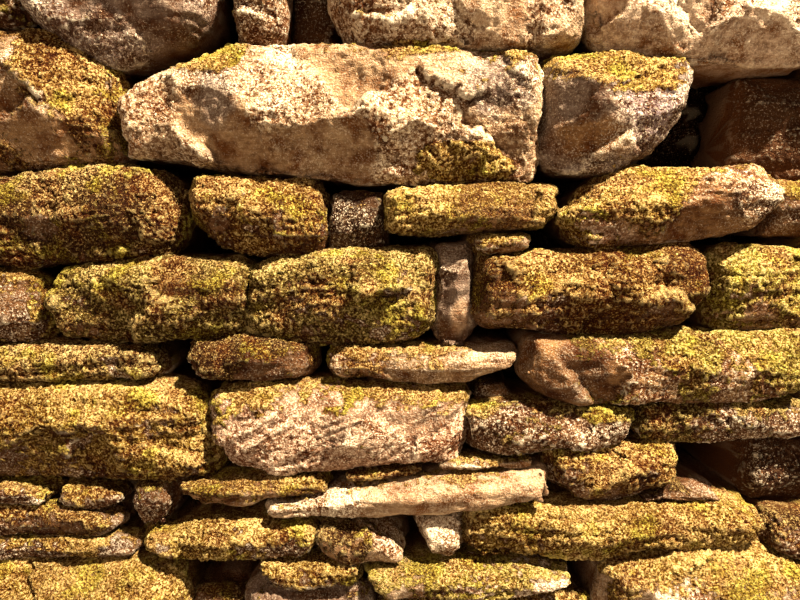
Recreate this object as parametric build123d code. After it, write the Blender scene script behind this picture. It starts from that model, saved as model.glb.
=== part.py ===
from build123d import *
import os

# Free-standing dry stone wall. Origin on the ground under the middle, X along
# the wall, Z up. The front face looks towards -Y. Lengths are millimetres.
wall_length = 2000
face_height = 1130
half_width_ground = 335
half_width_head = 205
footing_step = 25
relief = 1

# The stones are drawn below on a grid of squares that covers the face. A square
# is a centimetre, and the grid stretches with the wall. What stands proud of
# the face or lies back in it is given in steps of relief.
grid_count_x = 200
grid_count_z = 113
square_x = wall_length / grid_count_x
square_z = face_height / grid_count_z

# Packing between the two skins of stone, and the clearances of the stones
core_half_width = 50
core_length_share = 0.61
core_below_head = 20
end_joint = 3
bed_gap = 0.1
pin_length = 150

# Worn edges around the exposed face of each stone, and its fullest point
arris_share = 0.08
arris_largest = 9
arris_depth_ratio = 1.3
crown_share = 0.09
crown_largest = 12
crown_places = [(0.15, 0.1), (-0.2, 0.3), (0.3, 0.25), (-0.1, 0), (0, 0.35)]

# Worn corners of the stones at the ends of the wall
end_foot_wear = 6
end_head_wear = 15
end_wear_height = 26

# Upright stones of the cope
cope_widths = [94, 76, 102, 84, 90, 70, 106, 88, 96, 80]
cope_heights = [212, 236, 198, 226, 208, 240, 204, 220]
cope_overhangs = [22, 8, 27, 14, 18, 4, 24]
cope_count = 22
cope_joint = 3
cope_lean = 0.08
cope_shoulder_share = 0.6
cope_top_width_share = 0.5
cope_top_inset = 14

above_head = grid_count_z + 2

faces = {}
ends = {"left_head_runners": [], "right_head_runners": [], "left_head_ties": [], "right_head_ties": []}
throughs = []
laid = []


def heights_at(outline, x):
    """Lowest and highest points of a convex outline at one position along the wall."""
    heights = []
    for (x1, z1), (x2, z2) in zip(outline, outline[1:] + outline[:1]):
        if min(x1, x2) <= x <= max(x1, x2):
            if x1 == x2:
                heights += [z1, z2]
            else:
                heights.append(z1 + (z2 - z1) * (x - x1) / (x2 - x1))
    return min(heights), max(heights)


def room_below(outline):
    """How far an outline can sink before it rests on the ground or on a laid stone."""
    room = min(z for x, z in outline)
    for other in laid:
        left = max(min(x for x, z in outline), min(x for x, z in other))
        right = min(max(x for x, z in outline), max(x for x, z in other))
        if left >= right:
            continue
        stations = [left, right] + [x for x, z in outline + other if left < x < right]
        if all(heights_at(outline, x)[1] <= heights_at(other, x)[0] for x in stations):
            continue
        rooms = [heights_at(outline, x)[0] - heights_at(other, x)[1] for x in stations]
        room = min(room, min(rooms) - bed_gap)
    return room


def sunk(outline, drop):
    """The outline lowered by a drop, and cut level at the head of the wall."""
    return [(x, min(z - drop, face_height)) for x, z in outline]


def face_depth(z):
    """Distance from the middle plane to the battered face at one height."""
    return half_width_ground + (half_width_head - half_width_ground) * z / face_height


def pulled_in(outline, distance):
    """The outline with every edge moved inwards by one distance."""
    corners = []
    for before, corner, after in zip(outline[-1:] + outline[:-1], outline, outline[1:] + outline[:1]):
        to_before = (Vector(*before) - Vector(*corner)).normalized()
        to_after = (Vector(*after) - Vector(*corner)).normalized()
        sine = to_after.cross(to_before).length
        moved = Vector(*corner) + (to_before + to_after) * (distance / sine)
        corners.append((moved.X, moved.Y))
    return corners


def exposed_face(outline, proud):
    """Corners of the exposed face, its fullest point, and the full outline behind it."""
    xs = [x for x, z in outline]
    zs = [z for x, z in outline]
    width = max(xs) - min(xs)
    height = max(zs) - min(zs)
    arris = min(arris_largest, arris_share * width, arris_share * height)
    out = proud * relief
    front = [(x, -face_depth(z) - out, z) for x, z in pulled_in(outline, arris)]
    behind = [(x, -face_depth(z) - out + arris * arris_depth_ratio, z) for x, z in outline]
    crown_x, crown_z = crown_places[len(laid) % len(crown_places)]
    x = sum(xs) / len(xs) + crown_x * width / 2
    z = sum(zs) / len(zs) + crown_z * height / 2
    crown = min(crown_largest, crown_share * height)
    return front + behind + [(x, -face_depth(z) - out - crown, z)]


def skin_stone(outline, proud, length=None):
    """A stone of one skin, from its exposed face to its tail at the packing or at a length."""
    if length is None:
        tails = [(x, -core_half_width, z) for x, z in outline]
    else:
        tails = [(x, length - face_depth(z) - proud * relief, z) for x, z in outline]
    return ConvexPolyhedron(exposed_face(outline, proud) + tails)


def end_stone(outline, proud):
    """A stone of one skin at the end of the wall, where it reaches the middle."""
    return ConvexPolyhedron(exposed_face(outline, proud) + [(x, -end_joint, z) for x, z in outline])


def full_width_stone(outline, proud):
    """A stone that reaches from face to face."""
    front = exposed_face(outline, proud)
    return ConvexPolyhedron(front + [(x, -y, z) for x, y, z in front])


def placed(corners):
    """Corners on the grid at the size of the wall."""
    return [(x * square_x, z * square_z) for x, z in corners]


def lay(course, *corners, proud=0, length=None):
    """Sets one stone down in a course of the face."""
    outline = placed(corners)
    outline = sunk(outline, room_below(outline))
    laid.append(outline)
    faces.setdefault(course, []).append(skin_stone(outline, proud, length))


def lay_mirrored(right):
    """Sets one outline down at the same height in both halves of the face."""
    left = [(-x, z) for x, z in right]
    drop = min(room_below(left), room_below(right))
    laid.append(sunk(left, drop))
    laid.append(sunk(right, drop))
    return sunk(left, drop), sunk(right, drop)


def worn_end(inner, bottom, top):
    """Outline of a stone at the end of the wall, with its outer corners worn."""
    (inner, bottom), (end, top) = placed([(inner, bottom), (grid_count_x / 2, top)])
    return [
        (inner, bottom),
        (end - end_foot_wear, bottom),
        (end, bottom + end_wear_height),
        (end - end_foot_wear, top - end_wear_height),
        (end - end_head_wear, top),
        (inner + end_head_wear, top),
        (inner - end_foot_wear / 2, top - end_wear_height),
    ]


def lay_end_runners(inner, bottom, top, proud=0):
    """A pair at each end, one stone in each skin, that meet in the middle of the wall."""
    left, right = lay_mirrored(worn_end(inner, bottom, top))
    left_stone = end_stone(left, proud)
    right_stone = end_stone(right, proud)
    ends["left_head_runners"] += [left_stone, turned(right_stone)]
    ends["right_head_runners"] += [right_stone, turned(left_stone)]


def lay_end_ties(inner, bottom, top, proud=0):
    """One stone at each end that covers both skins."""
    left, right = lay_mirrored(worn_end(inner, bottom, top))
    ends["left_head_ties"].append(full_width_stone(left, proud))
    ends["right_head_ties"].append(full_width_stone(right, proud))


def turned(stone):
    """The same stone in the skin of the other face."""
    return Rot(0, 0, 180) * stone


# Footing stones on the ground
lay_end_runners(66.3, 0, 20, proud=footing_step / relief)
lay("footing", (-65.4, 0), (-40.3, 0), (-40.6, 17), (-43, 19.6), (-62, 20), (-65.2, 18.5),
    proud=footing_step / relief)
lay("footing", (-39.8, 0), (-15.6, 0), (-15.2, 18), (-17, 20.3), (-37, 19.5), (-39.5, 17),
    proud=footing_step / relief)
lay("footing", (-15, 0), (14.4, 0), (14.6, 17.5), (12, 19.4), (-12, 20.2), (-14.8, 18.6),
    proud=footing_step / relief)
lay("footing", (15.2, 0), (41.3, 0), (41, 18.4), (38, 20.4), (18, 19.6), (15.4, 17.8),
    proud=footing_step / relief)
lay("footing", (42, 0), (65.4, 0), (65.2, 18.8), (62, 20), (45, 19.8), (42.3, 18),
    proud=footing_step / relief)

# First course, tall stones
lay_end_ties(78, 20, 34)
lay("course_1", (-77.4, 20.3), (-61.4, 20.2), (-61.2, 30), (-63, 33.2), (-75, 33.6), (-77.2, 31),
    proud=4)
lay("course_1", (-60.6, 20.3), (-29, 20), (-28.5, 24), (-28.7, 30.5), (-30.3, 33.3), (-35, 34.7),
    (-58, 34.5), (-60.4, 32.5), proud=6)
lay("course_1", (-28, 20.3), (-19.8, 20.2), (-19.6, 28), (-22, 29.6), (-27, 29), proud=-30)
lay("course_1", (-18.7, 20.3), (-4, 20.2), (-3.6, 29), (-5, 31.3), (-17, 31.4), (-18.7, 30.5), proud=6)
lay("course_1", (-2.9, 20.2), (24, 20.3), (24.2, 26), (23.5, 29.6), (18, 30.6), (-1, 30.3), (-2.8, 29),
    proud=4)
lay("course_1", (24.9, 20.3), (52, 20.2), (52.6, 30), (52, 32.3), (48, 35.2), (43, 36.7), (33, 35.5),
    (26.5, 33.5), proud=18)
lay("course_1", (53.4, 20.2), (77.4, 20.4), (77.2, 31.5), (75, 33.8), (58, 33.9), (53.6, 32))

# Second course, thin levelling stones
lay("course_2", (-18, 34), (-15, 32), (-7.5, 31.4), (-5.4, 32), (-5.3, 34.6), (-17, 34.8), proud=8)
lay("course_2", (-4.7, 33.8), (-1, 31), (8, 30.7), (15, 31), (19.5, 32.2), (21.8, 34), (14, 34.8),
    (-3, 35), proud=14)
lay("course_2", (-63.2, 34.6), (-44, 34.9), (-33.8, 35.2), (-33.4, 37), (-36, 38.1), (-60, 37.8),
    proud=-4)

# Third course
lay_end_runners(64, 34, 46, proud=3)
lay("course_3", (-63.2, 37.8), (-37, 38), (-35.5, 39.5), (-38, 41), (-45, 42), (-63, 42), proud=2)
lay("course_3", (-33, 36.6), (-29, 35), (-20, 34.9), (-12.5, 35.2), (-10.8, 37), (-11, 39.6), (-24, 40),
    (-32, 38.5))
lay("course_3", (-10, 38.5), (-9.3, 35.6), (-6, 35.1), (0, 35.3), (0.8, 36), (-1.5, 38.3), (-4, 39.7),
    (-9.5, 39.7), proud=8)
lay("course_3", (8.4, 37), (10, 35.4), (25, 35.2), (42.5, 36.6), (45.4, 38.6), (45.3, 40.4), (40, 41.9),
    (9, 41.3), proud=8)
lay("course_3", (46.6, 36.2), (52, 34.4), (62, 34.5), (63.2, 36), (63, 39.8), (60, 40.4), (48, 40.6))
lay("pinnings", (2.5, 39.6), (3.8, 36.3), (5.5, 35), (7, 35.2), (7.9, 37.3), (7.9, 39.8), (7.3, 40.9),
    (3, 40.4), length=pin_length)

# Fourth course, with the long pale slab
lay("pinnings", (30, 42), (41, 41.9), (40.5, 42.6), (35.3, 43.9), length=pin_length)
lay("course_4", (-17.2, 40.9), (-16, 40.1), (0, 40.4), (10, 41.5), (18, 42.7), (18.6, 44.8),
    (17.8, 46.1), (3, 45.2), (-16, 41.8), proud=16)
lay("course_4", (-63.2, 42.1), (-45, 42.1), (-43.8, 43.3), (-46, 44.5), (-62, 44.9))
lay("course_4", (-43.3, 42), (-38, 40.8), (-34.8, 42), (-36, 43.4), (-42.5, 44.3), proud=-3)
lay("course_4", (19.6, 44.2), (22.5, 42.5), (27, 41.9), (34.4, 44.2), (35, 46), (34.8, 49), (21, 48.7),
    (19.6, 48), proud=4)
lay("course_4", (45.6, 43), (47, 41), (63, 40.8), (63.2, 49), (62, 50.2), (46, 50.3), proud=-40)
lay("pinnings", (-34, 43), (-33, 38.8), (-30, 39.2), (-29, 42.3), (-29.5, 45), (-33.5, 44.8),
    proud=-6, length=pin_length)
lay("pinnings", (-28, 43.5), (-25, 42), (-19, 42.1), (-10.5, 43.3), (-8.8, 44), (-9.8, 45.6),
    (-27.5, 45.2), length=pin_length)
lay("pinnings", (-7, 45.2), (-6.5, 44.5), (2, 45.5), (3.3, 46.5), (2, 47), (-6.5, 46),
    proud=-4, length=pin_length)
lay("pinnings", (4.5, 46.4), (16, 46.6), (17.3, 46.9), (16.5, 47.8), (9, 47.6), (4.5, 47),
    proud=-4, length=pin_length)

# Fifth course
lay_end_ties(80, 46, 57)
lay("course_5", (-79.4, 46.2), (-61.2, 46.1), (-60.8, 50), (-61, 56.4), (-63, 57), (-79, 56.8))
lay("course_5", (-60.2, 45.4), (-46, 45), (-30, 44.8), (-24.6, 45.5), (-23.7, 47.5), (-25.2, 55),
    (-33, 57.2), (-60, 57), proud=4)
lay("course_5", (-23.7, 50.5), (-20.5, 46.6), (-15, 45.7), (-9, 46), (6, 47.4), (7.8, 50), (8.1, 56.8),
    (-17, 57.5), (-23.5, 56), proud=10)
lay("course_5", (8.5, 53.4), (9.5, 48.4), (11, 48), (26, 48.9), (28.4, 49.8), (29.9, 53.6), (12, 53.8),
    proud=2)
lay("course_5", (30.2, 50.5), (33, 49.2), (38, 49.4), (52, 50.5), (52.2, 54.4), (45, 54.8), (31, 54.6),
    proud=-5)
lay("course_5", (66.8, 46.2), (79.4, 46.1), (79.2, 56.6), (68, 56.8))
lay("course_5", (53, 50.1), (66, 50), (66.2, 56.4), (53.2, 56.6), proud=3)

# Sixth course
through_shape = [(53, 57), (65.4, 57), (65.6, 67), (64, 69.5), (54, 69.5), (52.8, 66)]
through_outlines = lay_mirrored(placed(through_shape))
for outline in through_outlines:
    throughs.append(full_width_stone(outline, 14))
lay_end_runners(66.5, 57, 69.5, proud=5)
lay("course_6", (-52.2, 57.3), (-34, 57.4), (-31, 58.4), (-30.6, 60.2), (-33, 62.2), (-51.5, 62.3),
    (-52.3, 61))
lay("course_6", (-26.8, 60.5), (-25, 58), (-21, 57.5), (-12.5, 57.9), (-11.2, 60), (-12, 62.3),
    (-19, 63.2), (-26, 63), proud=4)
lay("course_6", (-9.3, 60.5), (-8.3, 58.2), (0, 57.3), (8, 57.3), (15, 59.6), (15, 61.9), (-7, 62.3),
    proud=4)
lay("course_6", (15.8, 58.5), (19, 55.7), (23, 54.8), (44, 55), (51, 57), (51.5, 61), (50, 63.6),
    (17, 63), proud=12)
lay("pinnings", (9.2, 54.2), (15, 54.2), (14.2, 56.4), (10.4, 56.8), proud=-45, length=pin_length)

# Seventh course
lay("course_7", (-52.2, 62.6), (-47, 62.4), (-45.5, 65), (-45.8, 70.5), (-48, 71.4), (-52.2, 71.6))
lay("course_7", (-44.3, 68), (-42.5, 63.6), (-36, 62.6), (-21, 63.3), (-19.3, 65), (-19.3, 71.5),
    (-21, 72.9), (-31, 73.2), (-43, 71.8), proud=8)
lay("course_7", (-18.8, 64.5), (-15, 62.9), (-3, 62.4), (1, 63), (3.3, 65.3), (4.3, 72.5), (3.4, 74.6),
    (-14, 73.6), (-18.8, 71.7), proud=10)
lay("course_7", (5, 62.6), (6.5, 62.3), (8.2, 62.5), (9.2, 65), (9.1, 71), (8.5, 75.2), (5.2, 75.4),
    (4.6, 69), proud=-8)
lay("course_7", (9.7, 66), (12, 64.3), (24, 63), (28, 63), (36.5, 65), (39, 69), (38.6, 73), (36, 74.6),
    (11, 73), proud=8)
lay("course_7", (40.2, 66), (42, 63.8), (46, 63.9), (52, 65), (52.3, 74.6), (43, 75), (40.5, 73.5),
    proud=-2)

# Eighth course
lay_end_ties(79, 69.5, 82)
lay("course_8", (-78.4, 69.7), (-72.4, 69.7), (-72.3, 81), (-78.2, 81.8))
lay("course_8", (72.8, 69.7), (78.4, 69.8), (78.2, 81.6), (73, 81.8), proud=-3)
lay("course_7", (-71.5, 69.7), (-53.3, 69.6), (-53, 71.6), (-55, 72.8), (-70, 73.4), (-71.8, 72.4))
lay("course_8", (-64, 74.6), (-47, 71.7), (-30, 73.5), (-28.5, 77), (-28.5, 81), (-31, 84), (-40, 84.8),
    (-63.8, 81), proud=4)
lay("course_8", (-71.6, 74), (-64.9, 73.9), (-64.7, 81), (-71.4, 81.2), proud=-4)
lay("course_8", (-26.5, 79.5), (-23, 75.4), (-18, 74), (-11, 74), (-9.8, 77), (-10, 82.2), (-12, 83.5),
    (-26, 84), proud=6)
lay("course_8", (-9.2, 74.2), (-2, 74.5), (-1.9, 82), (-9, 82.3), proud=-15)
lay("pinnings", (9.2, 75.2), (10.3, 73.2), (15.3, 73.3), (16.4, 74.8), (16.3, 76.2), (9.6, 76),
    proud=-4, length=pin_length)
lay("course_8", (-1.3, 76.3), (4, 75.6), (18, 76.6), (19.9, 79), (19.2, 81.8), (14, 82.6), (0, 81.8),
    (-1.5, 80.5), proud=10)
lay("course_8", (20.2, 78), (24.3, 74.2), (27, 74.1), (36, 75.1), (44.5, 76.7), (48, 80), (47.8, 82),
    (45, 84.5), (28, 84.3), proud=12)
lay("course_7", (53.2, 69.7), (72, 69.7), (71.8, 74.5), (69, 75.6), (54, 75.3), (53, 73))
lay("course_8", (48.2, 75.8), (64.6, 75.9), (64.4, 81), (49.2, 83.4), proud=-30)
lay("course_8", (65.4, 75.9), (72.1, 75.6), (72, 81.5), (65.3, 81.4))

# Ninth course, with the broad pale slab
lay_end_runners(62, 82, 94, proud=3)
lay("course_9", (-61.2, 84.2), (-40, 85), (-36, 85.4), (-35.9, 90), (-36.6, 96.2), (-44, 102),
    (-60, 102), (-61.3, 99), proud=2)
lay("course_9", (-35.4, 93.5), (-33.5, 86.3), (-12, 83.8), (2, 82.6), (16, 83.2), (17.5, 91),
    (17.2, 99.2), (-19, 100.5), (-28, 97.6), proud=14)
lay("course_9", (18.6, 86), (20.5, 84.1), (27, 83.6), (31.5, 86.5), (35, 90.8), (36.7, 96.5),
    (35.5, 98), (20, 98.6), (18.6, 97), proud=12)
lay("course_9", (45.6, 86), (47, 83.9), (61.2, 83.3), (61.3, 96), (60, 97.6), (46.5, 97.6), proud=-60)

# Tenth course, cut level for the cope
lay_end_ties(78, 94, 104)
lay("course_9", (-77.4, 94.2), (-62.2, 94.1), (-62, 100), (-63, 103.2), (-76, 103.8), (-77.3, 102))
lay("course_9", (62.2, 94.2), (77.4, 94.1), (77.2, 103), (75, 103.8), (63.4, 103.7), (62.1, 101),
    proud=-3)
lay_end_runners(70, 104, above_head, proud=3)
lay("course_10", (-69, 104.2), (-62, 103.5), (-49, 102.6), (-48, 105), (-48.4, above_head),
    (-69, above_head))
lay("course_10", (-47.3, 105), (-45, 102.6), (-40, 99.2), (-36.5, 97.6), (-27.5, 101.2), (-25.3, 103.5),
    (-24.8, 108), (-26, above_head), (-46.5, above_head), proud=10)
lay("course_10", (-21, 105), (-20, 100.8), (-17, 100.6), (-15.6, 104), (-16, above_head),
    (-20.5, above_head))
lay("pinnings", (-14.6, 100.6), (-9.2, 100.4), (-9, above_head), (-14.8, above_head), proud=-70)
lay("course_10", (-8, 106), (-5, 101), (0, 100.1), (16, 99.8), (21, 101), (23.4, 104),
    (22.6, above_head), (-7.5, above_head), proud=14)
lay("course_10", (24.4, 105), (25.8, 101.5), (29, 99.4), (34, 98.6), (50, 98.1), (54.6, 99.5),
    (54.2, above_head), (24, above_head), proud=8)
lay("pinnings", (55.5, 98.2), (61.3, 98.1), (61.2, 103.2), (55.8, 103.6))
lay("course_10", (55.4, 104.3), (69, 104.2), (69, above_head), (55.2, above_head), proud=4)


def packing(half_length, bottom, top):
    """A block of the packing between the skins."""
    block = Box(2 * half_length, 2 * core_half_width, top - bottom)
    return Pos(0, 0, (bottom + top) / 2) * block


through_bottom = min(z for x, z in through_outlines[0])
through_top = max(z for x, z in through_outlines[0])
through_inner = min(x for x, z in through_outlines[1])
packing_end = core_length_share * wall_length / 2
packing_top = face_height - core_below_head
hearting = {
    "hearting_lower": packing(packing_end, 0, through_bottom),
    "hearting_middle": packing(through_inner - end_joint, through_bottom, through_top),
    "hearting_upper": packing(packing_end, through_top, packing_top),
}


def cope_stone(left, right, height, front_over, back_over):
    """An upright stone across the wall, leaning along it, narrower towards its top."""
    levels = [0, cope_shoulder_share * height, height]
    insets = [0, 0, cope_top_inset]
    spreads = [1, 1, cope_top_width_share]
    points = []
    for level, inset, spread in zip(levels, insets, spreads):
        shift = cope_lean * level
        for x in (left + inset + shift, right - inset + shift):
            points.append((x, -(half_width_head + front_over) * spread, face_height + level))
            points.append((x, (half_width_head + back_over) * spread, face_height + level))
    return ConvexPolyhedron(points)


# The widths are stretched alike so that the row fills the wall
widths = [cope_widths[i % len(cope_widths)] for i in range(cope_count)]
cope_run = wall_length - cope_lean * max(cope_heights) - cope_joint * (cope_count - 1)
stretch = cope_run / sum(widths)
cope = []
cope_left = -wall_length / 2
for i, width in enumerate(widths):
    cope_right = cope_left + width * stretch
    height = cope_heights[i % len(cope_heights)]
    front_over = cope_overhangs[i % len(cope_overhangs)]
    back_over = cope_overhangs[(i + 3) % len(cope_overhangs)]
    cope.append(cope_stone(cope_left, cope_right, height, front_over, back_over))
    cope_left = cope_right + cope_joint


os.makedirs("parts", exist_ok=True)
for course, stones in faces.items():
    export_step(Compound(stones), f"parts/front_{course}.step")
    export_step(Compound([turned(stone) for stone in stones]), f"parts/back_{course}.step")
for name, stones in ends.items():
    export_step(Compound(stones), f"parts/{name}.step")
for name, block in hearting.items():
    export_step(block, f"parts/{name}.step")
export_step(Compound(throughs), "parts/through_stones.step")
export_step(Compound(cope), "parts/cope_stones.step")
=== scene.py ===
import bpy
import math
import random
import numpy as np
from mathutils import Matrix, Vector


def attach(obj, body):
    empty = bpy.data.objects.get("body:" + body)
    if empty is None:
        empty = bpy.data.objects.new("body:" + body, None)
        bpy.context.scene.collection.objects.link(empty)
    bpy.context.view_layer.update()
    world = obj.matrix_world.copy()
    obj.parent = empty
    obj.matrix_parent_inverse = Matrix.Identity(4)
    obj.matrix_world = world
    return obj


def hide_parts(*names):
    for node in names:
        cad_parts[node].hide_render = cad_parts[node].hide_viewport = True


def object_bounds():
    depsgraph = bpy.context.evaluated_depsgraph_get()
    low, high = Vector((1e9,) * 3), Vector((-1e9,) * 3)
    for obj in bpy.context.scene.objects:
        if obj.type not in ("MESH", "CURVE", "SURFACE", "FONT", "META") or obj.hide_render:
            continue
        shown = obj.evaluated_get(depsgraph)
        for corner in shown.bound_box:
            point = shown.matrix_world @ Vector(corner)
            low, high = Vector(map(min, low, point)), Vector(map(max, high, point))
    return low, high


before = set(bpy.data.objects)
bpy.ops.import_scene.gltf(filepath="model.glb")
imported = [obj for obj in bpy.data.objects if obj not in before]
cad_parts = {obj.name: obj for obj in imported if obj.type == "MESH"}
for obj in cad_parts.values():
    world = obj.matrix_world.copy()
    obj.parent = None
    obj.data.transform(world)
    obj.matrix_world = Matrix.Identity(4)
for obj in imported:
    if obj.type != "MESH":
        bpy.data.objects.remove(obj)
cad_low, cad_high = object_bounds()

# Lengths are in metres, but the tables give places in centimetres and set scars out in millimetres
IN_CM, IN_MM = 100, 1000

# The piece of the front face that the view takes in, and how far past it stones get fine meshes
VIEW_HALF_WIDTH = 0.50
VIEW_LOW, VIEW_HIGH = 0.30, 1.05
PAST_SIDES, PAST_FOOT, PAST_HEAD = 0.06, 0.04, 0.05

# The wall's outer faces, and how far they lean back in each metre of height
HALF_LENGTH = float(cad_high[0])
FACE_AT_GROUND = 0.335
BATTER = 0.115

# Sizes of the faces of a mesh in the view, outside it and in the packing
FINE = 0.0055
PLAIN = 0.0097
PACKING = 0.011

# Meshes are split finer down to this depth behind the face. A stone's tail starts deeper in and
# keeps only a share of its faces, unless it is a small part of the stone
FINE_DEPTH = 0.040
TAIL_STARTS = 0.055
TAIL_KEEPS = 0.10
TAIL_LEAST = 0.1

# Stones outside the view are coarser: their relief is stronger, their painted crest highlights and
# painted hollow shade fainter
PLAIN_ROUGHER = 1.8
PLAIN_CRISP = 0.4

# A stone whose nearest point is this far in counts as set back
SET_BACK_STARTS = 0.015

# Undercut of a stone, as a share of its height up to the largest, and the swelling of its body
UNDERCUT_SHARE = 0.13
UNDERCUT_LARGEST = 0.014
SWELLING = 0.012

# Scars left by splitting: the area of one, how many a stone has, how soft its edge is, how deep it
# goes, how far into the wall it is worked out, where it has faded out and is whole, and how many
# are sheer
SCAR_AREA = 0.0042
SCARS_LEAST, SCARS_MOST = 3, 14
SCAR_EDGE = 0.0025
SCAR_DEPTH = 0.011
SCAR_REACH = 0.065
SCAR_GONE, SCAR_WHOLE = 0.06, 0.02
SHEER_SHARE = 0.45

# Moss and crests of this height are painted in full: low moss gets painted shade at its foot, crests a
# painted highlight and hollows painted shade
NAP_HEIGHT = 0.006
PROUD_HEIGHT = 0.0014

# A stone that comes this near to the wall's end has scars on its end face. One that lies this near
# and is this long across is a tie, and shows its length there
AT_END = 0.05
TIE_WITHIN = 0.1
TIE_LENGTH = 0.4

# A stone is the one that a table means when its middle is this near, in centimetres
SAME_LOOK_WITHIN = 3
SAME_SCARS_WITHIN = 4

# Rock and moss colours, as the sun shows them on a dry face
ROCKS = {
    "palest": (0.66, 0.54, 0.41),
    "pale": (0.52, 0.41, 0.28),
    "cream": (0.46, 0.34, 0.21),
    "pink": (0.46, 0.31, 0.21),
    "buff": (0.34, 0.23, 0.125),
    "tan": (0.32, 0.195, 0.09),
    "grey": (0.27, 0.22, 0.19),
    "lilac": (0.29, 0.23, 0.24),
    "brown": (0.17, 0.095, 0.045),
    "rust": (0.22, 0.095, 0.030),
    # Painted shade: the tone of stones set back in shadow and of the packing
    "dark": (0.07, 0.038, 0.018),
}
MOSSES = {
    "gold": (0.30, 0.190, 0.026),
    "olive": (0.19, 0.150, 0.026),
    "lime": (0.30, 0.270, 0.035),
    "ochre": (0.24, 0.125, 0.018),
    "umber": (0.13, 0.070, 0.015),
}
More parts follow.
